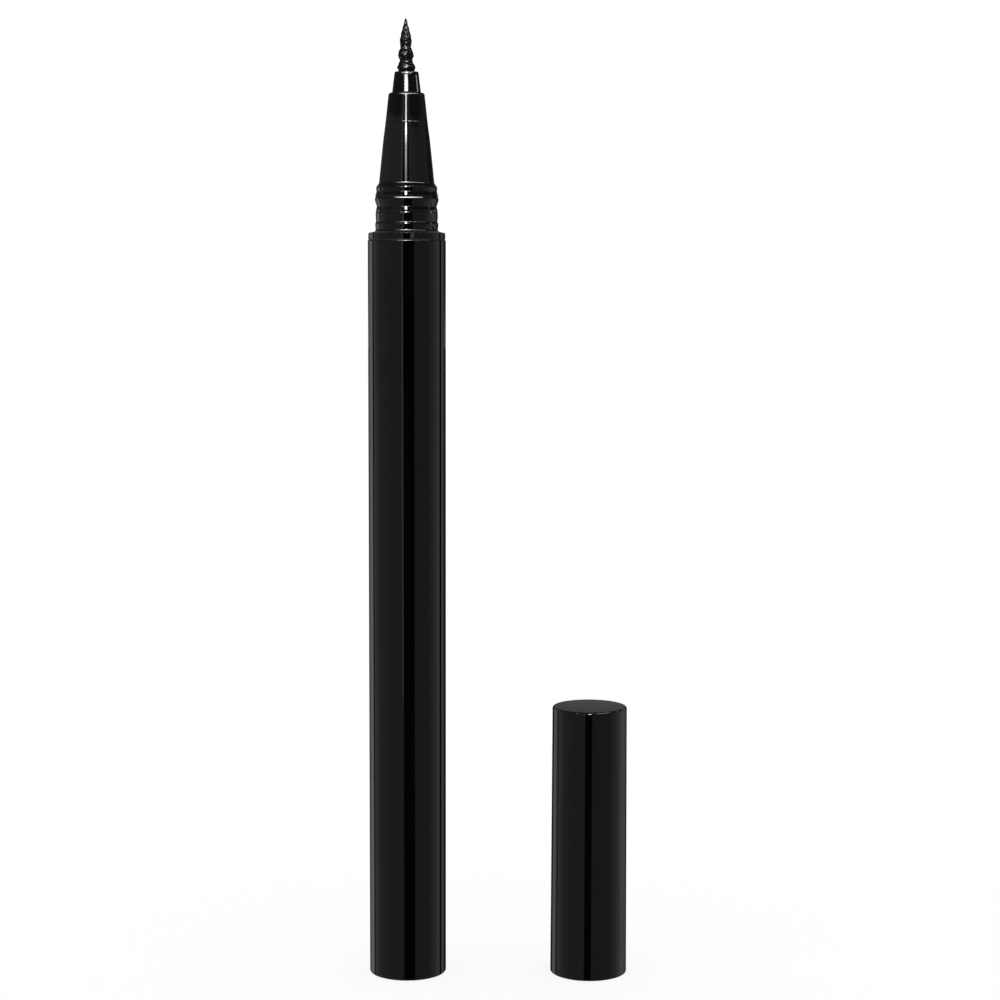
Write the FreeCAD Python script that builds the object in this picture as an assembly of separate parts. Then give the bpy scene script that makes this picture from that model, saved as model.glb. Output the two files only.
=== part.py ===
import FreeCAD, Part
import math
import os

# A liquid eyeliner pen standing on its tail, nib up, with its cap standing on its mouth beside it.
# Millimetres. The origin is the centre of the pen's tail face, +Z runs up to the nib, +X to the cap.

# Gaps between neighbouring pieces
PRESSED = 0.02
PRESS_RELIEF = 0.12
SLIDING = 0.10

# Barrel and the plug in its tail
BARREL_LENGTH = 95.9
BARREL_RADIUS = 5.0
BARREL_BORE = 4.25
BARREL_EDGE = 0.25
TAIL_PLUG_LENGTH = 9.0
TAIL_PLUG_FLOOR = 1.2
TAIL_PLUG_BORE = 3.3
TAIL_PLUG_RIB_HEIGHTS = (3.0, 5.2, 7.4)
RIB_HALF_WIDTH = 0.4

# Ink tank, its two stoppers and the ball that stirs the ink
TANK_END = 81.0
TANK_RADIUS = 4.2
TANK_BORE = 3.6
TANK_PLUG_LENGTH = 5.0
TANK_PLUG_FLOOR = 1.2
TANK_PLUG_BORE = 2.7
STOPPER_DEPTH = 5.0
STOPPER_FLANGE = 1.2
LIP_SHARES = (0.25, 0.75)
BALL_RADIUS = 1.75

# Ink wick, collector and overflow sponge
CORE_RADIUS = 0.8
CORE_START = 70.0
CORE_END = 111.0
COLLECTOR_END = 102.3
COLLECTOR_RADIUS = 3.05
COLLECTOR_ROOT = 1.7
FIN_COUNT = 24
FIN_PITCH = 0.76
FIN_THICKNESS = 0.36
AIR_SLOT = 0.8
INK_SLOT = 0.25
SPONGE_START = 102.5
SPONGE_END = 108.3
SPONGE_RADIUS = 1.95

# Neck: spigot in the barrel, flange on its mouth, snap and seal rings, cone
O_RING_HEIGHT = 1.2
O_RING_INNER = 3.15
O_RING_OUTER = 4.15
NECK_BORE = 3.1
SPONGE_BORE = 2.0
SPONGE_BORE_END = 108.6
SLEEVE_BORE = 1.3
FLANGE_RADIUS = 4.935
FLANGE_HEIGHT = 0.86
FLANGE_RISE = 0.24
FLANGE_EDGE = 0.12
FLANGE_DRAFT = 0.02
GROOVE_RADIUS = 3.95
GROOVE_TOP = 97.3
STEP_RING = (4.04, 97.7)
STEP_VALLEY = (3.935, 98.05)
BAND_START = (3.97, 98.35)
BAND_END = (3.97, 99.35)
SNAP_VALLEY = (3.815, 99.9)
SNAP_RING = (4.065, 100.85)
SEAL_VALLEY = (3.82, 101.7)
SEAL_RING = (3.89, 102.25)
SEAL_RING_END = (3.79, 102.6)
CONE_FOOT = (3.525, 103.0)
CONE_SWELL = (3.14, 107.0)
CONE_RIDGE = (2.68, 110.85)
CONE_TOP = (2.36, 113.95)
SHOULDER_BEND = (2.2, 114.35)
SHOULDER_END = (1.86, 114.5)

# Sleeve at the cone's end, and the nib in it
SLEEVE_START = 109.0
SLEEVE_END = 117.15
SLEEVE_FOOT_RADIUS = 1.825
SLEEVE_SWELL = (1.72, 115.8)
SLEEVE_END_RADIUS = 1.515
SLEEVE_EDGE = 0.1
NIB_FOOT_RADIUS = 1.0
NIB_SWELL = ((1.15, 117.77), (1.02, 119.38), (0.755, 121.15))
NIB_WAIST = ((0.85, 118.66), (0.70, 120.4))
NIB_TAPER = (0.54, 122.45)
NIB_END = 124.12

# Cap, measured upwards from its mouth
CAP_X = 23.8
CAP_LENGTH = 35.4
CAP_MOUTH_RADIUS = 5.0
CAP_TOP_RADIUS = 4.85
CAP_TOP_EDGE = 0.3
CAP_MOUTH_EDGE = 0.12
CAP_MOUTH_BORE = 4.13
CAP_GUIDE_BORE = 3.85
CAP_ROOF = 1.2
SNAP_BEAD_HEIGHT = 3.3
SNAP_BEAD_HALF_WIDTH = 0.45
SNAP_BEAD_RADIUS = 4.0
RING_START = 9.0
RING_END = 10.0
RING_BORE = 3.35
INNER_CAP_RADIUS = 3.75
INNER_CAP_BORE = 3.04
INNER_CAP_LIP = 10.1
INNER_CAP_CEILING = 28.3
INNER_CAP_ROOF = 1.1
SPRING_BOSS_RADIUS = 1.7
SPRING_BOSS_HEIGHT = 1.4

# Spring between the inner cap and the cap's roof
SPRING_COIL_RADIUS = 2.4
SPRING_WIRE_RADIUS = 0.2
SPRING_TURNS = 4.5
SPRING_GAP_TO_SEATS = 0.03

# Heights where one piece sits on the next
STOPPER_TOP = TANK_END + STOPPER_FLANGE
SPIGOT_START = STOPPER_TOP + O_RING_HEIGHT
FLANGE_TOP = BARREL_LENGTH + FLANGE_HEIGHT
NECK_END = SHOULDER_END[1]
TANK_PLUG_TOP = TAIL_PLUG_LENGTH + TANK_PLUG_LENGTH
INNER_CAP_TOP = INNER_CAP_CEILING + INNER_CAP_ROOF
CAP_CEILING = CAP_LENGTH - CAP_ROOF


def section_point(radius, height):
    """A point of a half section: its distance from the axis, and its height."""
    return FreeCAD.Vector(radius, 0, height)


def spun(edges, axis_x=0.0):
    """The solid that a closed half section sweeps about the upright axis at axis_x."""
    solid = Part.Face(Part.Wire(edges)).revolve(FreeCAD.Vector(), FreeCAD.Vector(0, 0, 1), 360)
    if solid.Volume < 0:
        solid.reverse()
    solid.translate(FreeCAD.Vector(axis_x, 0, 0))
    return solid


def turned(outline, axis_x=0.0):
    """Turns a closed half section about the upright axis at axis_x.

    Each entry is the (radius, height) that a straight run goes to, or the middle and the end of an arc.
    """
    edges = []
    start = section_point(*outline[0])
    for step in outline[1:] + outline[:1]:
        if isinstance(step[0], tuple):
            middle, end = section_point(*step[0]), section_point(*step[1])
            edges.append(Part.Arc(start, middle, end).toShape())
        else:
            end = section_point(*step)
            edges.append(Part.LineSegment(start, end).toShape())
        start = end
    return spun(edges, axis_x)


def rounded(centre_radius, centre_height, size, start_angle, end_angle):
    """The arc step round a corner, from its centre, its radius and the two angles in degrees."""
    middle_angle, last_angle = math.radians((start_angle + end_angle) / 2), math.radians(end_angle)
    middle = (centre_radius + size * math.cos(middle_angle), centre_height + size * math.sin(middle_angle))
    end = (centre_radius + size * math.cos(last_angle), centre_height + size * math.sin(last_angle))
    return middle, end


def ribbed_side(body_radius, rib_radius, rib_heights):
    """The steps up a side that carries round sealing ribs at the given heights."""
    steps = []
    for height in rib_heights:
        steps.append((body_radius, height - RIB_HALF_WIDTH))
        steps.append(((rib_radius, height), (body_radius, height + RIB_HALF_WIDTH)))
    return steps


def barrel():
    """Plain tube, its outer edges slightly rounded."""
    edge_centre = BARREL_RADIUS - BARREL_EDGE
    return turned([
        (BARREL_BORE, 0),
        (edge_centre, 0),
        rounded(edge_centre, BARREL_EDGE, BARREL_EDGE, -90, 0),
        (BARREL_RADIUS, BARREL_LENGTH - BARREL_EDGE),
        rounded(edge_centre, BARREL_LENGTH - BARREL_EDGE, BARREL_EDGE, 0, 90),
        (BARREL_BORE, BARREL_LENGTH)])


def tail_plug():
    """Cup pressed into the barrel's tail, its floor flush with the end, gripping with three ribs."""
    head_radius = BARREL_BORE - PRESSED
    body_radius = head_radius - PRESS_RELIEF
    side = ribbed_side(body_radius, head_radius, TAIL_PLUG_RIB_HEIGHTS)
    return turned([
        (0, 0),
        (head_radius - PRESS_RELIEF, 0),
        (head_radius, PRESS_RELIEF),
        (head_radius, TAIL_PLUG_FLOOR),
        (body_radius, TAIL_PLUG_FLOOR + PRESS_RELIEF)] + side + [
        (body_radius, TAIL_PLUG_LENGTH),
        (TAIL_PLUG_BORE, TAIL_PLUG_LENGTH),
        (TAIL_PLUG_BORE, TAIL_PLUG_FLOOR),
        (0, TAIL_PLUG_FLOOR)])


def ink_tank():
    """Tube that slides into the barrel and stands on the tail plug."""
    return turned([
        (TANK_BORE, TAIL_PLUG_LENGTH),
        (TANK_RADIUS, TAIL_PLUG_LENGTH),
        (TANK_RADIUS, TANK_END),
        (TANK_BORE, TANK_END)])


def tank_plug():
    """Cup pressed into the tank's rear end, closed side to the ink."""
    lip_radius = TANK_BORE - PRESSED
    body_radius = lip_radius - PRESS_RELIEF
    lip_heights = [TAIL_PLUG_LENGTH + share * TANK_PLUG_LENGTH for share in LIP_SHARES]
    floor_height = TANK_PLUG_TOP - TANK_PLUG_FLOOR
    return turned([
        (TANK_PLUG_BORE, TAIL_PLUG_LENGTH),
        (body_radius, TAIL_PLUG_LENGTH)] + ribbed_side(body_radius, lip_radius, lip_heights) + [
        (body_radius, TANK_PLUG_TOP),
        (0, TANK_PLUG_TOP),
        (0, floor_height),
        (TANK_PLUG_BORE, floor_height)])


def mixing_ball():
    """Steel ball lying on the tank plug."""
    return Part.makeSphere(BALL_RADIUS, FreeCAD.Vector(0, 0, TANK_PLUG_TOP + BALL_RADIUS + PRESSED))


def inner_stopper():
    """Flanged partition in the tank's mouth, drilled for the wick."""
    lip_radius = TANK_BORE - PRESSED
    body_radius = lip_radius - PRESS_RELIEF
    hole_radius = CORE_RADIUS + SLIDING
    start = TANK_END - STOPPER_DEPTH
    lip_heights = [start + share * STOPPER_DEPTH for share in LIP_SHARES]
    return turned([
        (hole_radius, start),
        (body_radius, start)] + ribbed_side(body_radius, lip_radius, lip_heights) + [
        (body_radius, TANK_END),
        (TANK_RADIUS, TANK_END),
        (TANK_RADIUS, STOPPER_TOP),
        (hole_radius, STOPPER_TOP)])


def neck_o_ring():
    """Rubber ring squeezed flat between the stopper's flange and the neck's spigot."""
    bulge = O_RING_HEIGHT / 4
    middle = STOPPER_TOP + O_RING_HEIGHT / 2
    return turned([
        (O_RING_OUTER - bulge, STOPPER_TOP),
        ((O_RING_OUTER, middle), (O_RING_OUTER - bulge, SPIGOT_START)),
        (O_RING_INNER + bulge, SPIGOT_START),
        ((O_RING_INNER, middle), (O_RING_INNER + bulge, STOPPER_TOP))])


def collector():
    """Comb of thin round fins on a bored root, slit lengthwise for ink on one side and air on the other."""
    bore_radius = CORE_RADIUS + SLIDING
    comb_start = COLLECTOR_END - FIN_COUNT * FIN_PITCH
    outline = [(bore_radius, STOPPER_TOP), (COLLECTOR_RADIUS, STOPPER_TOP), (COLLECTOR_RADIUS, comb_start)]
    for fin in range(FIN_COUNT):
        fin_top = comb_start + (fin + 1) * FIN_PITCH
        outline.append((COLLECTOR_ROOT, fin_top - FIN_PITCH))
        outline.append((COLLECTOR_ROOT, fin_top - FIN_THICKNESS))
        outline.append((COLLECTOR_RADIUS, fin_top - FIN_THICKNESS))
        outline.append((COLLECTOR_RADIUS, fin_top))
    comb = turned(outline + [(bore_radius, COLLECTOR_END)])
    slot_length = COLLECTOR_END - STOPPER_TOP
    for width, depth, turn in ((AIR_SLOT, COLLECTOR_ROOT, 180), (INK_SLOT, bore_radius / 2, 0)):
        corner = FreeCAD.Vector(-width / 2, depth, STOPPER_TOP)
        slot = Part.makeBox(width, COLLECTOR_RADIUS, slot_length, corner)
        slot.rotate(FreeCAD.Vector(), FreeCAD.Vector(0, 0, 1), turn)
        comb = comb.cut(slot)
    return comb


def relay_core():
    """Fibre wick from the ink up to the nib's rear end."""
    return Part.makeCylinder(CORE_RADIUS, CORE_END - CORE_START, FreeCAD.Vector(0, 0, CORE_START))


def overflow_sponge():
    """Foam ring round the wick, ahead of the collector."""
    hole_radius = CORE_RADIUS + SLIDING
    return turned([
        (hole_radius, SPONGE_START),
        (SPONGE_RADIUS, SPONGE_START),
        (SPONGE_RADIUS, SPONGE_END),
        (hole_radius, SPONGE_END)])


def midway(first, second):
    """The point halfway between two points of a half section."""
    return (first[0] + second[0]) / 2, (first[1] + second[1]) / 2


def neck_section():
    """Stepped moulding: spigot, flange, four rings that the cap snaps and seals on, and a long cone."""
    spigot_radius = BARREL_BORE - PRESSED
    flange_edge_centre = FLANGE_RADIUS - FLANGE_EDGE
    flange_edge_height = FLANGE_TOP - FLANGE_EDGE
    return turned([
        (NECK_BORE, SPIGOT_START),
        (spigot_radius - PRESS_RELIEF, SPIGOT_START),
        (spigot_radius, SPIGOT_START + 3 * PRESS_RELIEF),
        (spigot_radius, BARREL_LENGTH),
        (flange_edge_centre, BARREL_LENGTH),
        rounded(flange_edge_centre, BARREL_LENGTH + FLANGE_EDGE, FLANGE_EDGE, -90, 0),
        (FLANGE_RADIUS - FLANGE_DRAFT, flange_edge_height),
        rounded(flange_edge_centre - FLANGE_DRAFT, flange_edge_height, FLANGE_EDGE, 0, 90),
        (GROOVE_RADIUS, FLANGE_TOP + FLANGE_RISE),
        (GROOVE_RADIUS, GROOVE_TOP),
        (STEP_RING, STEP_VALLEY),
        BAND_START,
        BAND_END,
        (SNAP_VALLEY, midway(SNAP_VALLEY, SNAP_RING)),
        (SNAP_RING, midway(SNAP_RING, SEAL_VALLEY)),
        (SEAL_VALLEY, midway(SEAL_VALLEY, SEAL_RING)),
        (SEAL_RING, SEAL_RING_END),
        CONE_FOOT,
        (CONE_SWELL, CONE_RIDGE),
        CONE_TOP,
        (SHOULDER_BEND, SHOULDER_END),
        (SLEEVE_BORE, NECK_END),
        (SLEEVE_BORE, SPONGE_BORE_END),
        (SPONGE_BORE, SPONGE_BORE_END),
        (SPONGE_BORE, COLLECTOR_END),
        (NECK_BORE, COLLECTOR_END)])


def nib_sleeve():
    """Bored collar on the cone's end, with a stem pressed into the neck; the wick meets the nib in it."""
    bore_radius = CORE_RADIUS + PRESSED
    stem_radius = SLEEVE_BORE - PRESSED
    return turned([
        (bore_radius, SLEEVE_START),
        (stem_radius - 2 * SLEEVE_EDGE, SLEEVE_START),
        (stem_radius, SLEEVE_START + 4 * SLEEVE_EDGE),
        (stem_radius, NECK_END),
        (SLEEVE_FOOT_RADIUS, NECK_END),
        (SLEEVE_SWELL, (SLEEVE_END_RADIUS, SLEEVE_END - SLEEVE_EDGE)),
        rounded(SLEEVE_END_RADIUS - SLEEVE_EDGE, SLEEVE_END - SLEEVE_EDGE, SLEEVE_EDGE, 0, 90),
        (bore_radius, SLEEVE_END)])


def nib():
    """Fibre rod whose free end swells three times, each time smaller, and runs out to a point."""
    swells = [NIB_SWELL[0], NIB_WAIST[0], NIB_SWELL[1], NIB_WAIST[1], NIB_SWELL[2], NIB_TAPER]
    head = Part.BSplineCurve()
    head_start = section_point(NIB_FOOT_RADIUS, SLEEVE_END)
    tip = section_point(0, NIB_END)
    head.interpolate([head_start] + [section_point(*entry) for entry in swells] + [tip])
    corners = [tip, section_point(0, CORE_END), section_point(CORE_RADIUS, CORE_END),
               section_point(CORE_RADIUS, SLEEVE_END), head_start]
    edges = [head.toShape()]
    edges += [Part.LineSegment(start, end).toShape() for start, end in zip(corners, corners[1:])]
    return spun(edges)


def cap_shell():
    """Closed tube with moulding taper, a snap bead inside its mouth and a narrower guide bore above."""
    top_edge_centre = CAP_TOP_RADIUS - CAP_TOP_EDGE
    mouth_edge_centre = CAP_MOUTH_RADIUS - CAP_MOUTH_EDGE
    bead = (SNAP_BEAD_RADIUS, SNAP_BEAD_HEIGHT)
    return turned([
        (CAP_MOUTH_BORE + CAP_MOUTH_EDGE, 0),
        (mouth_edge_centre, 0),
        rounded(mouth_edge_centre, CAP_MOUTH_EDGE, CAP_MOUTH_EDGE, -90, 0),
        (CAP_TOP_RADIUS, CAP_LENGTH - CAP_TOP_EDGE),
        rounded(top_edge_centre, CAP_LENGTH - CAP_TOP_EDGE, CAP_TOP_EDGE, 0, 90),
        (0, CAP_LENGTH),
        (0, CAP_CEILING),
        (CAP_GUIDE_BORE, CAP_CEILING),
        (CAP_GUIDE_BORE, RING_END),
        (CAP_MOUTH_BORE, RING_END),
        (CAP_MOUTH_BORE, SNAP_BEAD_HEIGHT + SNAP_BEAD_HALF_WIDTH),
        (bead, (CAP_MOUTH_BORE, SNAP_BEAD_HEIGHT - SNAP_BEAD_HALF_WIDTH)),
        (CAP_MOUTH_BORE, CAP_MOUTH_EDGE)], CAP_X)


def retaining_ring():
    """Ring pressed up to the step in the cap's bore, which keeps the inner cap in."""
    return turned([
        (RING_BORE, RING_START),
        (CAP_MOUTH_BORE - PRESSED, RING_START),
        (CAP_MOUTH_BORE - PRESSED, RING_END),
        (RING_BORE, RING_END)], CAP_X)


def inner_cap():
    """Cup that slides in the cap, its lip closing on the cone, with a boss that centres the spring."""
    lip_edge = INNER_CAP_RADIUS - 2 * SLIDING
    return turned([
        (INNER_CAP_BORE, INNER_CAP_LIP),
        (lip_edge, INNER_CAP_LIP),
        (INNER_CAP_RADIUS, INNER_CAP_LIP + 2 * SLIDING),
        (INNER_CAP_RADIUS, INNER_CAP_TOP),
        (SPRING_BOSS_RADIUS, INNER_CAP_TOP),
        (SPRING_BOSS_RADIUS, INNER_CAP_TOP + SPRING_BOSS_HEIGHT),
        (0, INNER_CAP_TOP + SPRING_BOSS_HEIGHT),
        (0, INNER_CAP_CEILING),
        (INNER_CAP_BORE, INNER_CAP_CEILING)], CAP_X)


def arc_along(start, direction, end):
    """The arc that leaves start along a unit direction and reaches end."""
    chord = end - start
    along = FreeCAD.Vector(chord).normalize()
    aside = (direction - along * direction.dot(along)).normalize()
    bow = chord.Length / 2 * math.tan(direction.getAngle(along) / 2)
    return Part.Arc(start, (start + end) / 2 + aside * bow, end).toShape()


def coil_wire(coil_radius, pitch, turns):
    """A helix from height 0 up, as biarcs of a quarter turn: two arcs with a common tangent."""
    def place(angle):
        return FreeCAD.Vector(
            coil_radius * math.cos(angle), coil_radius * math.sin(angle), pitch * angle / (2 * math.pi))

    def direction(angle):
        return FreeCAD.Vector(
            -coil_radius * math.sin(angle), coil_radius * math.cos(angle), pitch / (2 * math.pi)).normalize()

    edges = []
    for quarter in range(round(4 * turns)):
        first, last = quarter * math.pi / 2, (quarter + 1) * math.pi / 2
        start, end = place(first), place(last)
        leaving, arriving = direction(first), direction(last)
        across = end - start
        spread = 2 * (1 - leaving.dot(arriving))
        lean = across.dot(leaving + arriving)
        reach = (math.sqrt(lean ** 2 + spread * across.dot(across)) - lean) / spread
        meeting = (start + end + (leaving - arriving) * reach) / 2
        edges.append(arc_along(start, leaving, meeting))
        edges.append(arc_along(end, arriving * -1, meeting))
    return Part.Wire(Part.__sortEdges__(edges))


def least_turn_gap(path, turns, points_a_turn=60):
    """The least distance between the wire's surfaces from one turn to the next, on points along it."""
    points = path.discretize(Number=round(points_a_turn * turns))
    half_turn = points_a_turn // 2
    distances = [(point - other).Length for index, point in enumerate(points)
                 for other in points[index + half_turn:]]
    return min(distances) - 2 * SPRING_WIRE_RADIUS


def cap_spring():
    """Round wire wound into an open coil between the inner cap and the cap's roof."""
    coil_start = INNER_CAP_TOP + SPRING_GAP_TO_SEATS + SPRING_WIRE_RADIUS
    coil_end = CAP_CEILING - SPRING_GAP_TO_SEATS - SPRING_WIRE_RADIUS
    pitch = (coil_end - coil_start) / SPRING_TURNS
    path = coil_wire(SPRING_COIL_RADIUS, pitch, SPRING_TURNS)
    slope = FreeCAD.Vector(0, SPRING_COIL_RADIUS, pitch / (2 * math.pi))
    section = Part.Wire(Part.makeCircle(SPRING_WIRE_RADIUS, FreeCAD.Vector(SPRING_COIL_RADIUS, 0, 0), slope))
    spring = path.makePipeShell([section], True, False)
    print("cap spring: least gap between turns", round(least_turn_gap(path, SPRING_TURNS), 3), "mm")
    print("cap spring: volume over section times length",
          round(spring.Volume / (math.pi * SPRING_WIRE_RADIUS ** 2 * path.Length), 4))
    spring.translate(FreeCAD.Vector(CAP_X, 0, coil_start))
    return spring


PIECES = (
    barrel, tail_plug, ink_tank, tank_plug, mixing_ball, inner_stopper, neck_o_ring, collector, relay_core,
    overflow_sponge, neck_section, nib_sleeve, nib, cap_shell, retaining_ring, inner_cap, cap_spring)

os.makedirs("parts", exist_ok=True)
for make_piece in PIECES:
    make_piece().exportStep(f"parts/{make_piece.__name__}.step")
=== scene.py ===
import math

import bpy
import numpy as np
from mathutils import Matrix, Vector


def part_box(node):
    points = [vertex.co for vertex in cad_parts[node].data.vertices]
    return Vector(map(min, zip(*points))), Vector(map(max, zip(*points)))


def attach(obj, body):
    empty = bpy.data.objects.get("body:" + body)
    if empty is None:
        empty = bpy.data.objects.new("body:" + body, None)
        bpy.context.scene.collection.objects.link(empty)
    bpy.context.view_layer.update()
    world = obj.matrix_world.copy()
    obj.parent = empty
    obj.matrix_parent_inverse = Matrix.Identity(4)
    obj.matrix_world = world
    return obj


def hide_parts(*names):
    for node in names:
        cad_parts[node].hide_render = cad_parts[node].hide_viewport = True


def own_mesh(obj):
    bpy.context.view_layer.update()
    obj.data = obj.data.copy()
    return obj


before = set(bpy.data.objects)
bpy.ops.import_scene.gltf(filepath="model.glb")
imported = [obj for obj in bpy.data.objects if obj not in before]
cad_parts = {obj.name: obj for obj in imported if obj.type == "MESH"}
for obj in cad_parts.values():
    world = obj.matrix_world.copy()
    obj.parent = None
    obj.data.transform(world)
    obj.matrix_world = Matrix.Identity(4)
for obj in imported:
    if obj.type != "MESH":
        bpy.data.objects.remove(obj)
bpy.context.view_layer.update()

# Barrel
# A straight tube of black plastic, lacquered and polished to a deep gloss. Its ends are cut square
# and eased, and the tail plug and the neck are pressed into its bore.

MM = 0.001
AROUND = 256


def box_mm(node):
    """The lowest and the highest corner of a piece of the frame, in millimetres."""
    low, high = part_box(node)
    return np.array(low) / MM, np.array(high) / MM


def eased_run(corners, arc_points=9, guard=0.04):
    """A run of straight lines with its corners turned into arcs, in (radius, height).

    Each corner is (radius, height, rounding). Its arc touches both lines at the rounding over the
    tangent of half the angle between them, and its centre lies on the line that halves that angle.
    One more point a guard's length further along each line keeps the shading of the line flat. The
    first and the last corner stay sharp.
    """
    corners = np.asarray(corners, float)
    place, rounding = corners[1:-1, :2], corners[1:-1, 2:]
    back, forth = corners[:-2, :2] - place, corners[2:, :2] - place
    back /= np.linalg.norm(back, axis=1, keepdims=True)
    forth /= np.linalg.norm(forth, axis=1, keepdims=True)
    half_angle = np.arccos((back * forth).sum(axis=1, keepdims=True)) / 2
    inward, along = back + forth, forth - back
    inward /= np.linalg.norm(inward, axis=1, keepdims=True)
    along /= np.linalg.norm(along, axis=1, keepdims=True)
    centre = place + inward * rounding / np.sin(half_angle)
    turn = ((np.pi / 2 - half_angle) * np.linspace(-1, 1, arc_points))[..., None]
    arcs = rounding[:, None] * (along[:, None] * np.sin(turn) - inward[:, None] * np.cos(turn))
    reach = rounding / np.tan(half_angle) + guard
    guards = [(place + side * reach)[:, None] for side in (back, forth)]
    rows = np.concatenate([guards[0], centre[:, None] + arcs, guards[1]], axis=1)
    return np.vstack([corners[:1, :2], rows.reshape(-1, 2), corners[-1:, :2]])


def eased_loop(corners):
    """A closed half section from its corners: the eased run that ends where it started."""
    first, last = np.array(corners[0], float), np.array(corners[-1], float)
    seam = (first + last) / 2
    return eased_run([seam, *corners, seam])[:-1]


def turned_grid(outline, axis_x=0.0):
    """The points (axis_x + r cos a, r sin a, z) for every (r, z) of an outline and every angle a."""
    angle = np.linspace(0, 2 * np.pi, AROUND, endpoint=False)
    radius, height = outline[:, :1], outline[:, 1:]
    return np.stack([
        axis_x + radius * np.cos(angle), radius * np.sin(angle), height + 0 * angle], axis=-1)


def grid_piece(name, grid, ends=None):
    """A closed, smooth mesh from a grid of points in millimetres whose columns run round.

    With no ends, the last row joins the first. With two end points, a fan of triangles closes the
    grid from each of them to the row beside it.
    """
    rows, around = grid.shape[:2]
    index = np.arange(rows * around).reshape(rows, around)
    beside = np.roll(index, -1, axis=1)
    quads = np.stack([index, beside, np.roll(beside, -1, axis=0), np.roll(index, -1, axis=0)], axis=-1)
    points = grid.reshape(-1, 3)
    if ends is None:
        faces = quads.reshape(-1, 4).tolist()
    else:
        first_end = np.full(around, rows * around)
        fans = [(first_end, beside[0], index[0]), (first_end + 1, index[-1], beside[-1])]
        faces = quads[:-1].reshape(-1, 4).tolist()
        faces += np.array(fans).transpose(0, 2, 1).reshape(-1, 3).tolist()
        points = np.vstack([points, ends])
    mesh = bpy.data.meshes.new(name)
    mesh.from_pydata((points * MM).tolist(), [], faces)
    mesh.shade_smooth()
    piece = bpy.data.objects.new(name, mesh)
    bpy.context.scene.collection.objects.link(piece)
    return piece


def turned_ring(name, outline, axis_x=0.0):
    """A piece with a hole through it: a closed outline carried round the axis."""
    return grid_piece(name, turned_grid(outline, axis_x))


def turned_solid(name, outline, axis_x=0.0):
    """A piece that its axis runs through: an outline from the axis to the axis, carried round it."""
    ends = [(axis_x, 0, outline[0, 1]), (axis_x, 0, outline[-1, 1])]
    return grid_piece(name, turned_grid(outline[1:-1], axis_x), ends)


class Tone:
    """One socket of a finish's nodes; sums, differences and products of tones add Math nodes."""

    def __init__(self, tree, socket=None):
        self.tree = tree
        self.socket = socket

    def node(self, kind, settings=None, sockets=None, output=0):
        """A new node: its settings first, then the values or links of its sockets; gives one output."""
        node = self.tree.nodes.new(kind)
        for name, value in (settings or {}).items():
            setattr(node, name, value)
        for name, value in (sockets or {}).items():
            if isinstance(value, Tone):
                self.tree.links.new(value.socket, node.inputs[name])
            else:
                node.inputs[name].default_value = value
        return Tone(self.tree, node.outputs[output] if node.outputs else None)

    def math(self, operation, first, second):
        """The result of a Math node on two tones or numbers."""
        return self.node("ShaderNodeMath", {"operation": operation}, {0: first, 1: second})

    def __add__(self, other):
        return self.math("ADD", self, other)

    def __radd__(self, other):
        return self.math("ADD", other, self)

    def __sub__(self, other):
        return self.math("SUBTRACT", self, other)

    def __rsub__(self, other):
        return self.math("SUBTRACT", other, self)

    def __mul__(self, other):
        return self.math("MULTIPLY", self, other)

    def __rmul__(self, other):
        return self.math("MULTIPLY", other, self)


def new_finish(name):
    """An empty material, and its Object coordinates in metres as a tone."""
    material = bpy.data.materials.new(name)
    material.use_nodes = True
    material.node_tree.nodes.clear()
    place = Tone(material.node_tree).node("ShaderNodeTexCoord", output="Object")
    return material, place


def grain(place, grain_size, detail=2.0, stretch=(1, 1, 1)):
    """Noise from 0 to 1 in lumps of about grain_size millimetres, times stretch along X, Y and Z."""
    scale = [1 / (grain_size * MM * share) for share in stretch]
    spread = place.node("ShaderNodeMapping", None, {"Vector": place, "Scale": scale})
    return place.node("ShaderNodeTexNoise", None, {"Vector": spread, "Scale": 1.0, "Detail": detail})


def within(tone, low, high):
    """How far a tone lies from low to high, from 0 to 1 and no further."""
    return tone.node("ShaderNodeMapRange", None, {"Value": tone, "From Min": low, "From Max": high})


def between(share, first, second):
    """The colour that lies a share of the way from the first colour to the second."""
    return share.node("ShaderNodeMix", {"data_type": "RGBA"},
                      {0: share, 6: (*first, 1), 7: (*second, 1)}, output=2)


def surface(place, height=None, depth=0.0, **sockets):
    """Ends a finish: the shader with its sockets, and a height's bumps, their depth in millimetres."""
    inputs = {name.replace("_", " "): value for name, value in sockets.items()}
    if height is not None:
        inputs["Normal"] = place.node("ShaderNodeBump", None, {"Height": height, "Distance": depth * MM})
    shader = place.node("ShaderNodeBsdfPrincipled", None, inputs)
    place.node("ShaderNodeOutputMaterial", None, {"Surface": shader})


def lacquered_black():
    """Black lacquer: cloudy by a hair in its tone and gloss, with faint wipe marks along it."""
    material, place = new_finish("lacquered_black")
    cloud = grain(place, grain_size=6.0)
    wipes = within(grain(place, grain_size=0.25, detail=3.0, stretch=(1, 1, 40)), low=0.55, high=0.8)
    peel = grain(place, grain_size=0.9, detail=0.0)
    surface(place, height=peel, depth=0.0002,
            Base_Color=between(cloud, (0.0007, 0.0007, 0.0008), (0.0013, 0.0013, 0.0014)),
            Roughness=0.045 + 0.015 * cloud + 0.02 * wipes)
    return material


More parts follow.
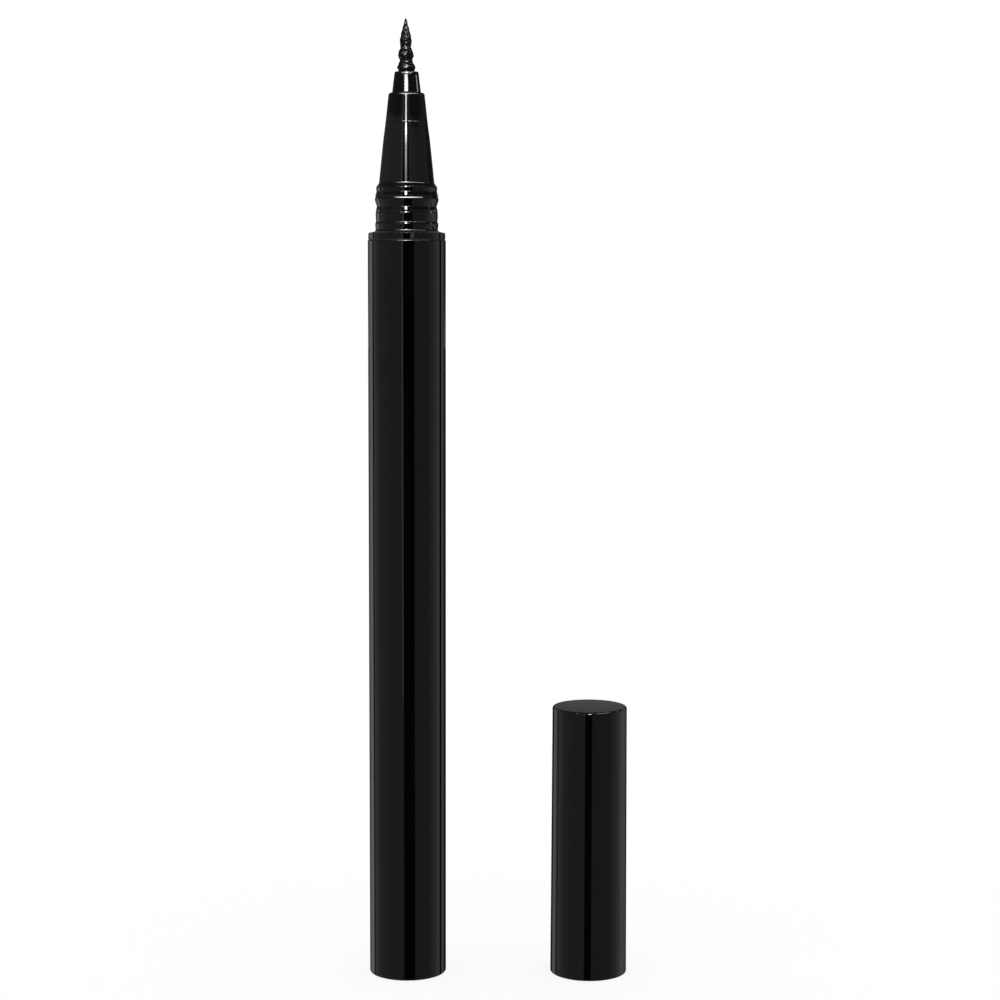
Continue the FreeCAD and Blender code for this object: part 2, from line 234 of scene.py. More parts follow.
barrel_end = box_mm("barrel")[1][2]
barrel_radius = box_mm("barrel")[1][0]
BARREL_BORE = 4.25
BARREL_EDGE = 0.17
BORE_EDGE = 0.05
barrel_section = eased_loop([
    (BARREL_BORE, 0, BORE_EDGE),
    (barrel_radius, 0, BARREL_EDGE),
    (barrel_radius, barrel_end, BARREL_EDGE),
    (BARREL_BORE, barrel_end, BORE_EDGE)])
barrel = turned_ring("barrel_tube", barrel_section)
gloss_black = lacquered_black()
barrel.data.materials.append(gloss_black)
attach(barrel, "pen")
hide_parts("barrel")

# Tail plug
# A moulded cup of black plastic pressed into the barrel's tail until its floor is flush. Three round
# ribs grip the bore, and the floor keeps the shallow mark where the plastic ran into the mould.


def moulded_black(name, dullness, ripple=0.0003):
    """Black plastic as it leaves a polished mould: a faint bloom, rippled by a hair, and flow marks."""
    material, place = new_finish(name)
    bloom = grain(place, grain_size=0.35, detail=4.0)
    flow = grain(place, grain_size=1.6, stretch=(1, 1, 4))
    surface(place, height=bloom, depth=ripple,
            Base_Color=between(flow, (0.0010, 0.0010, 0.0011), (0.0022, 0.0022, 0.0023)),
            Roughness=dullness + 0.03 * bloom + 0.02 * flow)
    return material


PLUG_FLOOR = 1.2
PLUG_BORE = 3.3
PLUG_EDGE = 0.04
PLUG_MOUTH_EDGE = 0.06
PLUG_CORNER = 0.2
GRIP = 0.12
PLUG_RIBS = (3.0, 5.2, 7.4)
RIB_HALF = 0.4
RIB_FOOT = 0.05
RIB_CREST = 0.3
GATE_RADIUS = 0.9
GATE_RIM = 1.2
GATE_DEPTH = 0.1
GATE_EDGE = 0.08
plug_end = box_mm("tail_plug")[1][2]
plug_radius = box_mm("tail_plug")[1][0]
plug_waist = plug_radius - GRIP
rib_corners = [corner for rib in PLUG_RIBS for corner in (
    (plug_waist, rib - RIB_HALF, RIB_FOOT),
    (plug_radius, rib, RIB_CREST),
    (plug_waist, rib + RIB_HALF, RIB_FOOT))]
plug_section = eased_run([
    (0, GATE_DEPTH, 0),
    (GATE_RADIUS, GATE_DEPTH, GATE_EDGE),
    (GATE_RIM, 0, GATE_EDGE),
    (plug_waist, 0, PLUG_EDGE),
    (plug_radius, GRIP, PLUG_EDGE),
    (plug_radius, PLUG_FLOOR, PLUG_EDGE),
    (plug_waist, PLUG_FLOOR + GRIP, PLUG_EDGE),
    *rib_corners,
    (plug_waist, plug_end, PLUG_MOUTH_EDGE),
    (PLUG_BORE, plug_end, PLUG_MOUTH_EDGE),
    (PLUG_BORE, PLUG_FLOOR, PLUG_CORNER),
    (0, PLUG_FLOOR, 0)])
tail_plug = turned_solid("tail_plug_cup", plug_section)
tail_plug.data.materials.append(moulded_black("plug_black", dullness=0.3))
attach(tail_plug, "pen")
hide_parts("tail_plug")

# Ink tank and its plug
# A tube of milky polypropylene that slides into the barrel and stands on the tail plug, with a cup
# of the same plastic pressed into its rear end. Ink has tinted the tank from inside.


def milky_plastic():
    """Milky polypropylene: faint clouds in its white, and the soft grain of a mould in its gloss."""
    material, place = new_finish("milky_plastic")
    cloud = grain(place, grain_size=3.0, detail=3.0)
    mould = grain(place, grain_size=0.2)
    surface(place, height=mould, depth=0.002,
            Base_Color=between(cloud, (0.72, 0.72, 0.69), (0.82, 0.82, 0.80)),
            Roughness=0.32 + 0.12 * mould)
    return material


def tinted_tank():
    """The tank's polypropylene, darkened in patches where ink has soaked into it."""
    material, place = new_finish("tinted_tank")
    stain = within(grain(place, grain_size=4.0, detail=5.0, stretch=(1, 1, 2.5)), low=0.35, high=0.7)
    surface(place,
            Base_Color=between(stain, (0.07, 0.07, 0.08), (0.30, 0.30, 0.31)),
            Roughness=0.25 + 0.2 * stain)
    return material


natural_plastic = milky_plastic()
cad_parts["ink_tank"].data.materials[0] = tinted_tank()
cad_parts["tank_plug"].data.materials[0] = natural_plastic

# Mixing ball
# A steel ball, ground round and left bright, loose in the ink tank. It runs up and down the tank and
# stirs the pigment when the pen is shaken.


def ground_steel(name, dullness):
    """Bare steel: bright, with fine grinding marks in its gloss and a slight uneven sheen."""
    material, place = new_finish(name)
    marks = grain(place, grain_size=0.05, detail=3.0, stretch=(1, 1, 12))
    sheen = grain(place, grain_size=0.8)
    surface(place,
            Base_Color=between(sheen, (0.52, 0.52, 0.53), (0.64, 0.64, 0.64)),
            Metallic=1.0,
            Roughness=dullness + 0.1 * marks)
    return material


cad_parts["mixing_ball"].data.materials[0] = ground_steel("ball_steel", dullness=0.12)

# Stopper and O-ring
# The stopper is a flanged polypropylene plug in the tank's mouth, drilled for the wick. The neck
# squeezes a rubber ring against its flange.


def seal_rubber():
    """Black nitrile rubber: dull, with a fine bloom of grey on its surface."""
    material, place = new_finish("seal_rubber")
    bloom = grain(place, grain_size=0.15, detail=5.0)
    surface(place, height=bloom, depth=0.004,
            Base_Color=between(bloom, (0.012, 0.012, 0.012), (0.032, 0.032, 0.031)),
            Roughness=0.55 + 0.2 * bloom)
    return material


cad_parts["inner_stopper"].data.materials[0] = natural_plastic
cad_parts["neck_o_ring"].data.materials[0] = seal_rubber()

# Collector, wick and overflow sponge
# The collector is a moulded comb of thin fins. The wick, a rod of bonded fibre, runs through it from
# the ink to the nib, and a ring of foam sits round the wick ahead of the comb.


def inked_comb():
    """White plastic with ink drawn into it: black where it stands in the fins, thin grey elsewhere."""
    material, place = new_finish("inked_comb")
    ink = within(grain(place, grain_size=1.2, detail=4.0, stretch=(1, 1, 1.8)), low=0.42, high=0.62)
    surface(place,
            Base_Color=between(ink, (0.80, 0.80, 0.78), (0.05, 0.05, 0.055)),
            Roughness=0.5 - 0.25 * ink)
    return material


def bonded_fibre():
    """A rod of drawn fibres soaked in ink: fine dark streaks along it."""
    material, place = new_finish("bonded_fibre")
    fibres = grain(place, grain_size=0.06, detail=3.0, stretch=(1, 1, 60))
    surface(place, height=fibres, depth=0.02,
            Base_Color=between(fibres, (0.012, 0.012, 0.014), (0.055, 0.055, 0.06)),
            Roughness=0.65 - 0.2 * fibres)
    return material


def open_foam():
    """Open foam with ink in it: round pores with painted shade in them, darker than the walls between
    them.
    """
    material, place = new_finish("open_foam")
    pore_size = 0.22
    pores = place.node("ShaderNodeTexVoronoi", None, {"Vector": place, "Scale": 1 / (pore_size * MM)})
    walls = within(pores, low=0.25, high=0.6)
    surface(place, height=walls, depth=0.06,
            # The pores' darker colour is painted shade in the hollows between the lighter walls.
            Base_Color=between(walls, (0.02, 0.02, 0.022), (0.14, 0.14, 0.145)),
            Roughness=0.85)
    return material


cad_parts["collector"].data.materials[0] = inked_comb()
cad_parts["relay_core"].data.materials[0] = bonded_fibre()
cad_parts["overflow_sponge"].data.materials[0] = open_foam()

# Neck
# One moulding of black plastic pressed into the barrel's mouth up to its flange. Its rings snap into
# the cap and seal in it, and its long cone carries the nib. A fine line round the cone shows where
# two parts of the mould met.


def swelling_run(points, level):
    """A smooth run through (radius, height) points, at every height of an array.

    Between two points the radius is the cubic with a given slope at each. A point's slope is the
    harmonic mean of the slopes to its neighbours, or zero where they differ in sign, so the curve
    swells and narrows only where the points do.
    """
    radius, height = np.array(points, float).T
    rise = np.diff(height)
    slope = np.diff(radius) / rise
    product = slope[:-1] * slope[1:]
    mean = np.divide(2 * product, slope[:-1] + slope[1:], out=np.zeros(len(product)), where=product > 0)
    at_point = np.concatenate([slope[:1], mean, slope[-1:]])
    run = np.clip(np.searchsorted(height, level, side="right") - 1, 0, len(rise) - 1)
    share = (level - height[run]) / rise[run]
    rest = 1 - share
    steady = (1 + 2 * share) * rest ** 2 * radius[run] + share ** 2 * (3 - 2 * share) * radius[run + 1]
    bend = share * rest * (rest * at_point[run] - share * at_point[run + 1])
    return np.stack([steady + rise[run] * bend, level], axis=1)


def broken_line(seed=3, waves=24):
    """Uneven heights round a circle, about -1 to 1: sine waves of random phase, 5 to 60 times round."""
    draw = np.random.default_rng(seed)
    times_round = draw.integers(5, 61, waves)[:, None]
    phase = draw.uniform(0, 2 * np.pi, waves)[:, None]
    angle = np.linspace(0, 2 * np.pi, AROUND, endpoint=False)
    return np.sin(times_round * angle + phase).sum(axis=0) / math.sqrt(waves)


NECK_BORE = 3.1
SPONGE_BORE = 2.0
SPONGE_BORE_END = 108.6
SLEEVE_BORE = 1.3
SLEEVE_BORE_EDGE = 0.03
COMB_END = 102.3
NECK_EDGE = 0.05
SPIGOT_RADIUS = 4.23
SPIGOT_LEAD = 3 * GRIP
SPIGOT_EDGE = 0.1
FLANGE_RADIUS = 4.935
FLANGE_DRAFT = 0.02
FLANGE_HEIGHT = 0.86
FLANGE_RISE = 0.24
FLANGE_ROOT = 0.03
FLANGE_LOW_EDGE = 0.1
FLANGE_HIGH_EDGE = 0.02
GROOVE_RADIUS = 3.95
GROOVE_CORNER = 0.3
STEP_RING = ((4.01, 97.46, 0.1), (4.04, 97.9, 0.06), (3.99, 98.09, 0.06), (3.94, 98.16, 0.1))
BAND = ((3.94, 98.44, 0.06), (3.968, 98.56, 0.08), (3.976, 99.31, 0.2), (3.944, 99.44, 0.03),
        (3.938, 99.67, 0.03), (3.835, 100.07, 0.2))
SNAP_RING = ((3.828, 100.16, 0.25), (4.045, 100.8, 0.25), (4.078, 101.06, 0.06), (4.07, 101.15, 0.03),
             (4.018, 101.27, 0.02), (4.012, 101.5, 0.03))
SEAL_RING = ((3.875, 102.0, 0.25), (3.905, 102.5, 0.2), (3.873, 102.625, 0.03), (3.537, 103.1, 0.35))
CONE = ((3.507, 103.4), (3.345, 105.0), (3.14, 107.0), (3.005, 108.3), (2.68, 110.85), (2.342, 113.95))
CONE_STEP = 0.2
SHOULDER_ROUNDING = 0.32
MOULD_LINE_HEIGHT = 110.78
MOULD_LINE_RISE = 0.011
MOULD_LINE_WIDTH = 0.035
MOULD_LINE_REACH = 3
MOULD_LINE_ROWS = 17
neck_start, neck_end = box_mm("neck_section")[0][2], box_mm("neck_section")[1][2]
bore_seam = (NECK_BORE, (neck_start + COMB_END) / 2, 0)
cone_slope = (CONE[-1][0] - CONE[-2][0]) / (CONE[-1][1] - CONE[-2][1])
shoulder_radius = CONE[-1][0] + cone_slope * (neck_end - CONE[-1][1])
spigot_and_rings = eased_run([
    bore_seam,
    (NECK_BORE, neck_start, NECK_EDGE),
    (SPIGOT_RADIUS - GRIP, neck_start, NECK_EDGE),
    (SPIGOT_RADIUS, neck_start + SPIGOT_LEAD, SPIGOT_EDGE),
    (SPIGOT_RADIUS, barrel_end, FLANGE_ROOT),
    (FLANGE_RADIUS, barrel_end, FLANGE_LOW_EDGE),
    (FLANGE_RADIUS - FLANGE_DRAFT, barrel_end + FLANGE_HEIGHT, FLANGE_HIGH_EDGE),
    (GROOVE_RADIUS, barrel_end + FLANGE_HEIGHT + FLANGE_RISE, GROOVE_CORNER),
    *STEP_RING,
    *BAND,
    *SNAP_RING,
    *SEAL_RING,
    (*CONE[0], 0)], arc_points=7, guard=0.02)
cone_levels = np.arange(CONE[0][1], CONE[-1][1], CONE_STEP)
line_steps = np.linspace(-MOULD_LINE_REACH, MOULD_LINE_REACH, MOULD_LINE_ROWS)
line_levels = MOULD_LINE_HEIGHT + MOULD_LINE_WIDTH * line_steps
cone = swelling_run(CONE, np.union1d(cone_levels, line_levels))
shoulder_and_bores = eased_run([
    (*CONE[-1], 0),
    (shoulder_radius, neck_end, SHOULDER_ROUNDING),
    (SLEEVE_BORE, neck_end, SLEEVE_BORE_EDGE),
    (SLEEVE_BORE, SPONGE_BORE_END, NECK_EDGE),
    (SPONGE_BORE, SPONGE_BORE_END, NECK_EDGE),
    (SPONGE_BORE, COMB_END, NECK_EDGE),
    (NECK_BORE, COMB_END, NECK_EDGE),
    bore_seam], arc_points=5)
neck_section = np.vstack([spigot_and_rings[:-1], cone, shoulder_and_bores[:-1]])
neck_grid = turned_grid(neck_section)
mould_line = np.exp(-((neck_section[:, 1] - MOULD_LINE_HEIGHT) / MOULD_LINE_WIDTH) ** 2)
mould_line *= neck_section[:, 0] > SPONGE_BORE
flash = MOULD_LINE_RISE * mould_line[:, None] * (1 + broken_line())
neck_grid[..., :2] *= (1 + flash / neck_section[:, :1])[..., None]
neck = grid_piece("ringed_neck", neck_grid)
neck.data.materials.append(moulded_black("neck_black", dullness=0.02))
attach(neck, "pen")
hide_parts("neck_section")

# Nib sleeve
# A small collar of black plastic with a stem pressed into the cone's end. Its bore grips the nib,
# and its smooth taper shines like the barrel.

SLEEVE_GRIP = 0.82
SLEEVE_GRIP_EDGE = 0.03
STEM_RADIUS = 1.28
STEM_LEAD = 0.2
STEM_LEAD_LENGTH = 0.4
STEM_EDGE = 0.05
STEM_ROOT = 0.02
SLEEVE_FOOT = 1.84
SLEEVE_FOOT_EDGE = 0.04
SLEEVE_RIM = ((1.57, 116.72, 0.03), (1.567, 116.86, 0.02), (1.515, 117.03, 0.04))
SLEEVE_TOP = 1.49
SLEEVE_TOP_EDGE = 0.06
sleeve_start, sleeve_end = box_mm("nib_sleeve")[0][2], box_mm("nib_sleeve")[1][2]
sleeve_section = eased_loop([
    (SLEEVE_GRIP, sleeve_start, SLEEVE_GRIP_EDGE),
    (STEM_RADIUS - STEM_LEAD, sleeve_start, STEM_EDGE),
    (STEM_RADIUS, sleeve_start + STEM_LEAD_LENGTH, STEM_EDGE),
    (STEM_RADIUS, neck_end, STEM_ROOT),
    (SLEEVE_FOOT, neck_end, SLEEVE_FOOT_EDGE),
    *SLEEVE_RIM,
    (SLEEVE_TOP, sleeve_end, SLEEVE_TOP_EDGE),
    (SLEEVE_GRIP, sleeve_end, SLEEVE_GRIP_EDGE)])
sleeve = turned_ring("nib_collar", sleeve_section)
sleeve.data.materials.append(moulded_black("collar_black", dullness=0.05, ripple=0.0001))
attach(sleeve, "pen")
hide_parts("nib_sleeve")

# Nib
# A rod of bonded fibre ground to three swellings and a point. It is soaked in ink, and the wet
# fibres lie in uneven lumps that catch the light.


def wet_fibre():
    """Inked fibre: black, glossy where ink stands on it and duller where fibres lie bare."""
    material, place = new_finish("wet_fibre")
    wet = within(grain(place, grain_size=0.3, detail=3.0), low=0.4, high=0.62)
    fibres = grain(place, grain_size=0.05, detail=3.0, stretch=(1, 1, 8))
    surface(place, height=fibres, depth=0.0008,
            Base_Color=between(wet, (0.0014, 0.0014, 0.0015), (0.0005, 0.0005, 0.0006)),
            Roughness=0.2 - 0.1 * wet,
            Specular_IOR_Level=0.3)
    return material


def fibre_lumps(height, seed=7, waves=40):
    """Lumps over a grid of heights and angles: a sum of waves of random slant and phase, about -1 to 1.

    Each wave runs up to six whole times round the nib and once in 0.5 to 1 mm up it.
    """
    draw = np.random.default_rng(seed)
    times_round = draw.integers(-6, 7, waves)[:, None, None]
    length_up = draw.uniform(0.5, 1.0, waves)[:, None, None]
    phase = draw.uniform(0, 2 * np.pi, waves)[:, None, None]
    angle = np.linspace(0, 2 * np.pi, AROUND, endpoint=False)
    turns = times_round * angle + 2 * np.pi * height[:, None] / length_up + phase
    return np.sin(turns).sum(axis=0) / math.sqrt(waves)


NIB_ROD = 0.8
ROD_EDGE = 0.05
ROD_ROOT = 0.02
NIB_SWELLS = (
    (1.0, 117.2), (1.15, 117.68), (0.82, 118.57), (0.995, 119.29), (0.68, 120.28), (0.748, 121.0),
    (0.62, 121.78), (0.43, 122.53), (0.28, 123.04), (0.165, 123.56), (0.1, 123.78), (0.0, 123.86))
NIB_STEP = 0.02
NIB_LEAN = 0.09
LUMP_HEIGHT = 0.03
SLEEVE_FADE = 0.2
TIP_FADE = 1.0
LEAN_LENGTH = 2.5
nib_start = box_mm("nib")[0][2]
nib_tip = NIB_SWELLS[-1][1]
rod = eased_run([
    (0, nib_start, 0),
    (NIB_ROD, nib_start, ROD_EDGE),
    (NIB_ROD, sleeve_end, ROD_ROOT),
    (*NIB_SWELLS[0], 0)])
head_levels = np.append(np.arange(NIB_SWELLS[0][1], nib_tip, NIB_STEP), nib_tip)
head = swelling_run(NIB_SWELLS, head_levels)
nib_outline = np.vstack([rod[:-1], head])
nib_grid = turned_grid(nib_outline[1:-1])
radii, rises = nib_outline[1:-1].T
free = np.clip((rises - sleeve_end) / SLEEVE_FADE, 0, 1)
lump_share = LUMP_HEIGHT * free * np.clip((nib_tip - rises) / TIP_FADE, 0, 1) / np.sqrt(radii)
nib_grid[..., :2] *= 1 + lump_share[:, None, None] * fibre_lumps(rises)[..., None]
nib_grid[..., 0] -= NIB_LEAN * np.clip((rises - sleeve_end) / LEAN_LENGTH, 0, 1)[:, None]
nib = grid_piece("beaded_nib", nib_grid, [(0, 0, nib_start), (-NIB_LEAN, 0, nib_tip)])
nib.data.materials.append(wet_fibre())
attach(nib, "pen")
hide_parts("nib")

# Cap shell
# A closed tube of the barrel's lacquered black plastic, with the slight taper of a moulding. A bead
# inside its mouth snaps over the neck's ring, and a step in its bore stops the retaining ring.

CAP_TOP_RADIUS = 4.85
CAP_TOP_EDGE = 0.3
CAP_MOUTH_EDGE = 0.12
CAP_MOUTH_BORE = 4.13
CAP_GUIDE_BORE = 3.85
CAP_ROOF = 1.2
CAP_ROOF_CORNER = 0.15
CAP_STEP_EDGE = 0.03
BEAD_HEIGHT = 3.3
BEAD_HALF = 0.45
BEAD_RADIUS = 3.95
BEAD_FOOT = 0.1
BEAD_CREST = 0.3
LEAD_IN_EDGE = 0.04
cap_low, cap_high = box_mm("cap_shell")
cap_x = (cap_low[0] + cap_high[0]) / 2
cap_mouth_radius = cap_high[0] - cap_x
cap_end = cap_high[2]
cap_ceiling = cap_end - CAP_ROOF
cap_step = box_mm("retaining_ring")[1][2]
cap_section = eased_run([
    (0, cap_ceiling, 0),
    (CAP_GUIDE_BORE, cap_ceiling, CAP_ROOF_CORNER),
    (CAP_GUIDE_BORE, cap_step, CAP_STEP_EDGE),
    (CAP_MOUTH_BORE, cap_step, CAP_STEP_EDGE),
    (CAP_MOUTH_BORE, BEAD_HEIGHT + BEAD_HALF, BEAD_FOOT),
    (BEAD_RADIUS, BEAD_HEIGHT, BEAD_CREST),
    (CAP_MOUTH_BORE, BEAD_HEIGHT - BEAD_HALF, BEAD_FOOT),
    (CAP_MOUTH_BORE, CAP_MOUTH_EDGE, LEAD_IN_EDGE),
    (CAP_MOUTH_BORE + CAP_MOUTH_EDGE, 0, LEAD_IN_EDGE),
    (cap_mouth_radius, 0, CAP_MOUTH_EDGE),
    (CAP_TOP_RADIUS, cap_end, CAP_TOP_EDGE),
    (0, cap_end, 0)])
cap = turned_solid("cap_tube", cap_section, cap_x)
cap.data.materials.append(gloss_black)
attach(cap, "cap")
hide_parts("cap_shell")

# Retaining ring and inner cap
# The inner cap is a milky polypropylene cup that slides in the cap, closes on the neck's cone and
# keeps the nib wet. The ring of the same plastic is pressed up to the cap's step to hold it in.

RING_BORE = 3.35
RING_BORE_EDGE = 0.1
RING_EDGE = 0.05
ring_start = box_mm("retaining_ring")[0][2]
ring_radius = box_mm("retaining_ring")[1][0] - cap_x
ring_section = eased_loop([
    (RING_BORE, ring_start, RING_BORE_EDGE),
    (ring_radius, ring_start, RING_EDGE),
    (ring_radius, cap_step, RING_EDGE),
    (RING_BORE, cap_step, RING_BORE_EDGE)])
retaining_ring = turned_ring("cap_ring", ring_section, cap_x)
retaining_ring.data.materials.append(natural_plastic)
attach(retaining_ring, "cap")
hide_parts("retaining_ring")

CUP_BORE = 3.04
CUP_CEILING = 28.3
CUP_CEILING_CORNER = 0.3
CUP_ROOF = 1.1
CUP_ROOF_EDGE = 0.15
CUP_LIP_BEVEL = 0.2
CUP_LIP_EDGE = 0.05
BOSS_RADIUS = 1.7
BOSS_ROOT = 0.1
BOSS_EDGE = 0.15
cup_low, cup_high = box_mm("inner_cap")
cup_radius = cup_high[0] - cap_x
cup_top = CUP_CEILING + CUP_ROOF
cup_section = eased_run([
    (0, CUP_CEILING, 0),
    (CUP_BORE, CUP_CEILING, CUP_CEILING_CORNER),
    (CUP_BORE, cup_low[2], CUP_LIP_EDGE),
    (cup_radius - CUP_LIP_BEVEL, cup_low[2], CUP_LIP_EDGE),
    (cup_radius, cup_low[2] + CUP_LIP_BEVEL, CUP_LIP_EDGE),
    (cup_radius, cup_top, CUP_ROOF_EDGE),
    (BOSS_RADIUS, cup_top, BOSS_ROOT),
    (BOSS_RADIUS, cup_high[2], BOSS_EDGE),
    (0, cup_high[2], 0)])
inner_cap = turned_solid("sealing_cup", cup_section, cap_x)
inner_cap.data.materials.append(natural_plastic)
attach(inner_cap, "inner_cap")
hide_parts("inner_cap")

# Cap spring
# Bright spring wire wound in an open coil round the inner cap's boss, up to the cap's roof. It
# shortens as the inner cap is pushed in.


def wound_wire(coil_radius, wire_radius, turns, start, end, steps_a_turn=64, sides=20):
    """A helix of round wire about the cap's axis: the middle line climbs evenly from start to end.

    Round each of its points lies a circle in the plane of the outward direction and the binormal.
    """
    angle = np.linspace(0, 2 * np.pi * turns, round(steps_a_turn * turns) + 1)
    climb = (end - start) / angle[-1]
    outward = np.stack([np.cos(angle), np.sin(angle), 0 * angle], axis=1)
    tangent = np.stack([
        -coil_radius * np.sin(angle), coil_radius * np.cos(angle), climb + 0 * angle], axis=1)
    tangent /= np.linalg.norm(tangent, axis=1, keepdims=True)
    binormal = np.cross(tangent, outward)
    middle = coil_radius * outward + np.array([cap_x, 0, start])
    middle[:, 2] += climb * angle
    side = np.linspace(0, 2 * np.pi, sides, endpoint=False)[None, :, None]
    ring = outward[:, None] * np.cos(side) + binormal[:, None] * np.sin(side)
    return middle[:, None] + wire_radius * ring, [middle[0], middle[-1]]


COIL_RADIUS = 2.4
WIRE_RADIUS = 0.2
COIL_TURNS = 4.5
spring_low, spring_high = box_mm("cap_spring")
wire_grid, wire_ends = wound_wire(
    COIL_RADIUS, WIRE_RADIUS, COIL_TURNS,
    start=spring_low[2] + WIRE_RADIUS, end=spring_high[2] - WIRE_RADIUS)
spring = grid_piece("wound_spring", wire_grid, wire_ends)
spring.data.materials.append(ground_steel("spring_steel", dullness=0.2))
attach(spring, "cap")
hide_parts("cap_spring")
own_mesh(spring)

# Floor
# A small round of white card under the pen and the cap. Most of its white comes from behind it, as
# on a light table, so that the shadow round their feet is faint.


def lit_card():
    """White card on a light table: mostly its own light, and a share of the light that falls on it."""
    fallen_share = 0.15
    material, place = new_finish("lit_card")
    glow = place.node("ShaderNodeEmission", None, {"Color": (1, 1, 1, 1)})
    card = place.node("ShaderNodeBsdfDiffuse", None, {"Color": (1, 1, 1, 1)})
    both = place.node("ShaderNodeMixShader", None, {0: fallen_share, 1: glow, 2: card})
    place.node("ShaderNodeOutputMaterial", None, {"Surface": both})
    return material


FLOOR_RADIUS = 90.0
FLOOR_DROP = 0.01
FLOOR_DEPTH = 2.0
FLOOR_EDGE = 0.5
floor_section = eased_run([
    (0, -FLOOR_DEPTH, 0),
    (FLOOR_RADIUS, -FLOOR_DEPTH, FLOOR_EDGE),
    (FLOOR_RADIUS, -FLOOR_DROP, FLOOR_EDGE),
    (0, -FLOOR_DROP, 0)])
floor = turned_solid("floor_card", floor_section, cap_x / 2)
floor.data.materials.append(lit_card())
floor.visible_glossy = False

# Studio
# White light from all round, and boards, lamps and flags round the pen and the cap for the gloss black
# to mirror. Only reflections see these: they are out of the camera's sight, throw no shadow and light
# no dull surface.


def board_finish(name, tones, foot_share):
    """A board's own light: it goes evenly from the first tone to the second across the board.

    Up the board it goes evenly from foot_share times that light to the light itself.
    """
    material, place = new_finish(name)
    sheet = place.node("ShaderNodeTexCoord", output="UV")
    across = place.node("ShaderNodeSeparateXYZ", None, {"Vector": sheet}, "X")
    upward = place.node("ShaderNodeSeparateXYZ", None, {"Vector": sheet}, "Y")
    light = (tones[0] + (tones[1] - tones[0]) * across) * (foot_share + (1 - foot_share) * upward)
    glow = place.node("ShaderNodeEmission", None, {"Color": light})
    place.node("ShaderNodeOutputMaterial", None, {"Surface": glow})
    return material


def board(name, start, end, low, high, tones, foot_share=1.0, lean=0.0, steps=24):
    """A board between two places round the pen, each an angle from the camera and a distance.

    The angle and the distance change evenly from one place to the other. The board goes up from low,
    one height or one for each place, to high, and its upper edge is a lean further out.
    """
    share = np.linspace(0, 1, steps)
    angle = np.radians(start[0] + (end[0] - start[0]) * share)
    distance = start[1] + (end[1] - start[1]) * share
    out = np.stack([np.sin(angle), -np.cos(angle), 0 * angle], axis=1)
    ground = distance[:, None] * out
    foot = ground + np.interp(share, (0, 1), np.broadcast_to(low, 2))[:, None] * [0, 0, 1]
    points = np.vstack([foot, ground + lean * out + [0, 0, high]])
    left = np.arange(steps - 1)
    quads = np.stack([left, left + 1, left + 1 + steps, left + steps], axis=1)
    mesh = bpy.data.meshes.new(name)
    mesh.from_pydata((points * MM).tolist(), [], quads.tolist())
    shares = np.stack([share[quads % steps], quads // steps], axis=-1)
    mesh.uv_layers.new(name="sheet").data.foreach_set("uv", shares.ravel())
    mesh.materials.append(board_finish(name, tones, foot_share))
    stand = bpy.data.objects.new(name, mesh)
    bpy.context.scene.collection.objects.link(stand)
    stand.visible_camera = False
    stand.visible_diffuse = False
    stand.visible_shadow = False


# The barrel and the cap mirror the lower boards, the cone the middle ones, and the rings the upper ones.
# A row gives a board's name, its two places and its tones at both.
LOWER_FOOT = -200.0
LOWER_TOP = 110.0
MIDDLE_TOP = 184.0
UPPER_TOP = 1500.0
LOWER_BOARDS = (
    ("black_board", (-18, 300), (28, 300), (0.0, 0.0)),
    ("left_front_board", (-9, 215), (-50, 215), (0.235, 0.235)),
    ("left_side_board", (-50, 215), (-88, 215), (0.235, 0.28)),
    ("left_far_board", (-88, 215), (-113, 215), (0.28, 0.43)),
    ("left_edge", (-113, 215), (-120, 215), (0.03, 0.03)),
    ("left_band", (-120, 240), (-134, 240), (0.75, 0.75)),
    ("left_back_board", (-134, 240), (-152, 240), (0.5, 0.2)),
    ("right_front_board", (23, 80), (66, 120), (0.185, 0.195)),
    ("right_side_board", (66, 120), (106, 180), (0.195, 0.46)),
    ("right_far_board", (106, 180), (120, 180), (0.46, 0.52)),
    ("right_back_board", (120, 240), (143, 240), (0.34, 0.17)),
    ("right_dark_board", (143, 240), (150, 240), (0.02, 0.02)))
MIDDLE_BOARDS = (
    ("left_middle_front", (-15, 215), (-60, 215), (0.31, 0.30)),
    ("left_middle_side", (-60, 215), (-100, 215), (0.30, 0.22)),
    ("left_middle_back", (-100, 215), (-150, 215), (0.22, 0.06)),
    ("middle_back", (-150, 215), (-210, 215), (0.10, 0.10)),
    ("right_middle_front", (12, 215), (60, 215), (0.31, 0.21)),
    ("right_middle_side", (60, 215), (108, 215), (0.21, 0.18)),
    ("right_middle_back", (108, 215), (150, 215), (0.05, 0.03)))
UPPER_BOARDS = (
    ("left_upper_board", (-15, 215), (-150, 215), (0.2, 0.05)),
    ("upper_back", (-150, 215), (-210, 215), (0.05, 0.05)),
    ("right_upper_board", (12, 215), (150, 215), (0.07, 0.05)))
for name, start, end, tones in LOWER_BOARDS:
    board(name, start, end, LOWER_FOOT, LOWER_TOP, tones)
for name, start, end, tones in MIDDLE_BOARDS:
    board(name, start, end, LOWER_TOP, MIDDLE_TOP, tones)
for name, start, end, tones in UPPER_BOARDS:
    board(name, start, end, MIDDLE_TOP, UPPER_TOP, tones)

